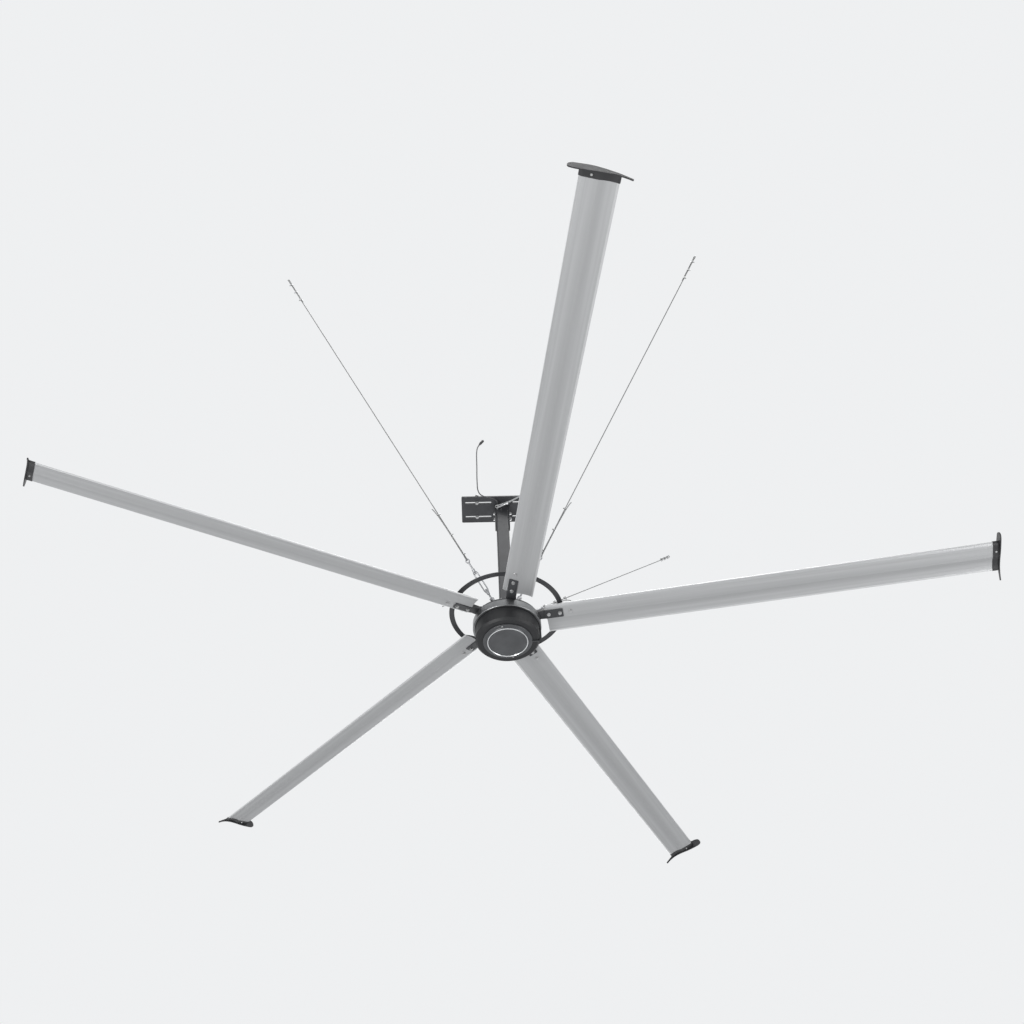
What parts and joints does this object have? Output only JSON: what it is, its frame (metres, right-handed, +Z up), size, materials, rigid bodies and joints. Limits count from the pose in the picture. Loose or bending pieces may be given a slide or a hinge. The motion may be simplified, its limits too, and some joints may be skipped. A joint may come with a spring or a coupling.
{
  "type": "industrial ceiling fan",
  "caption": "Large ceiling fan on a square down-rod: gearless motor, hollow aerofoil blades with end plates, safety ring, and clipped guy ropes with turnbuckles.",
  "frame": {"origin": "middle of the ceiling plate's top face", "axes": "+Z up into the ceiling along the rotor's axis, +X along the ceiling plate"},
  "size_m": [6.9826, 6.9431, 2.7031],
  "materials": {
    "black_coat": "satin",
    "zinc_fasteners": "zinc plated",
    "galvanised_steel": "galvanised",
    "wire_rope": "stranded",
    "satin_band": "satin",
    "cover_coat": "satin",
    "machined_steel": "machined",
    "bearing_steel": "ground",
    "cast_hub": "as cast",
    "laminated_steel": "laminated",
    "copper_windings": "varnished",
    "magnets": "nickel plated",
    "anodised_blade": "satin anodised",
    "black_plastic": "moulded",
    "cable_sheath": "matt",
    "rope_sheath": "satin"
  },
  "bodies": {
    "hanger": {"ceiling_bracket": "black_coat", "bracket_bolts": "zinc_fasteners", "bracket_nuts": "zinc_fasteners", "down_rod": "black_coat", "rod_foot": "black_coat", "guy_plate": "black_coat", "foot_bolts": "zinc_fasteners", "stator_shaft": "machined_steel", "upper_bearing_inner": "bearing_steel", "lower_bearing_inner": "bearing_steel", "stator_hub": "cast_hub", "stator_core": "laminated_steel", "stator_windings": "copper_windings", "turnbuckle_jaws": "galvanised_steel", "jaw_pins": "zinc_fasteners", "turnbuckle_eyes": "galvanised_steel", "rope_clips": "zinc_fasteners", "guy_rope_1": "wire_rope", "guy_rope_2": "wire_rope", "guy_rope_3": "wire_rope", "guy_rope_4": "wire_rope", "cable_gland": "black_plastic", "power_cable": "cable_sheath", "power_connector": "black_plastic", "safety_eye_bolt": "zinc_fasteners", "safety_rope": "rope_sheath", "safety_fittings": "zinc_fasteners"},
    "rotor": {"hub_disc": "black_coat", "hub_bolts": "zinc_fasteners", "motor_bell": "black_coat", "motor_band": "satin_band", "rotor_yoke": "laminated_steel", "rotor_magnets": "magnets", "upper_bearing_outer": "bearing_steel", "lower_bearing_outer": "bearing_steel", "cover_plate": "cover_coat", "cover_rim": "satin_band", "cover_screws": "zinc_fasteners", "safety_ring": "black_coat", "ring_brackets": "black_coat", "ring_bolts": "zinc_fasteners", "blade_straps": "black_coat", "blade_bolts": "zinc_fasteners", "rotor_nuts": "zinc_fasteners", "winglet_screws": "zinc_fasteners", "blade_arms": "black_coat", "blade_1": "anodised_blade", "blade_2": "anodised_blade", "blade_3": "anodised_blade", "blade_4": "anodised_blade", "blade_5": "anodised_blade", "winglet_1": "black_plastic", "winglet_2": "black_plastic", "winglet_3": "black_plastic", "winglet_4": "black_plastic", "winglet_5": "black_plastic"},
    "turnbuckle_1": {"turnbuckle_body_1": "galvanised_steel"},
    "turnbuckle_2": {"turnbuckle_body_2": "galvanised_steel"},
    "turnbuckle_3": {"turnbuckle_body_3": "galvanised_steel"},
    "turnbuckle_4": {"turnbuckle_body_4": "galvanised_steel"}
  },
  "joints": [
    {"name": "rotor_spin", "type": "hinge", "parent": "hanger", "child": "rotor", "pos_m": [0, 0, -1.325], "axis": [0, 0, 1], "continuous": true},
    {"name": "turnbuckle_turn_1", "type": "hinge", "parent": "hanger", "child": "turnbuckle_1", "pos_m": [0.18116, -0.19563, -1.09317], "axis": [0.4757, -0.5137, 0.714], "range_deg": [-180, 180]},
    {"name": "turnbuckle_turn_2", "type": "hinge", "parent": "hanger", "child": "turnbuckle_2", "pos_m": [0.19563, 0.18116, -1.09317], "axis": [0.5137, 0.4757, 0.714], "range_deg": [-180, 180]},
    {"name": "turnbuckle_turn_3", "type": "hinge", "parent": "hanger", "child": "turnbuckle_3", "pos_m": [-0.18116, 0.19563, -1.09317], "axis": [-0.4757, 0.5137, 0.714], "range_deg": [-180, 180]},
    {"name": "turnbuckle_turn_4", "type": "hinge", "parent": "hanger", "child": "turnbuckle_4", "pos_m": [-0.19563, -0.18116, -1.09317], "axis": [-0.5137, -0.4757, 0.714], "range_deg": [-180, 180]}
  ]
}
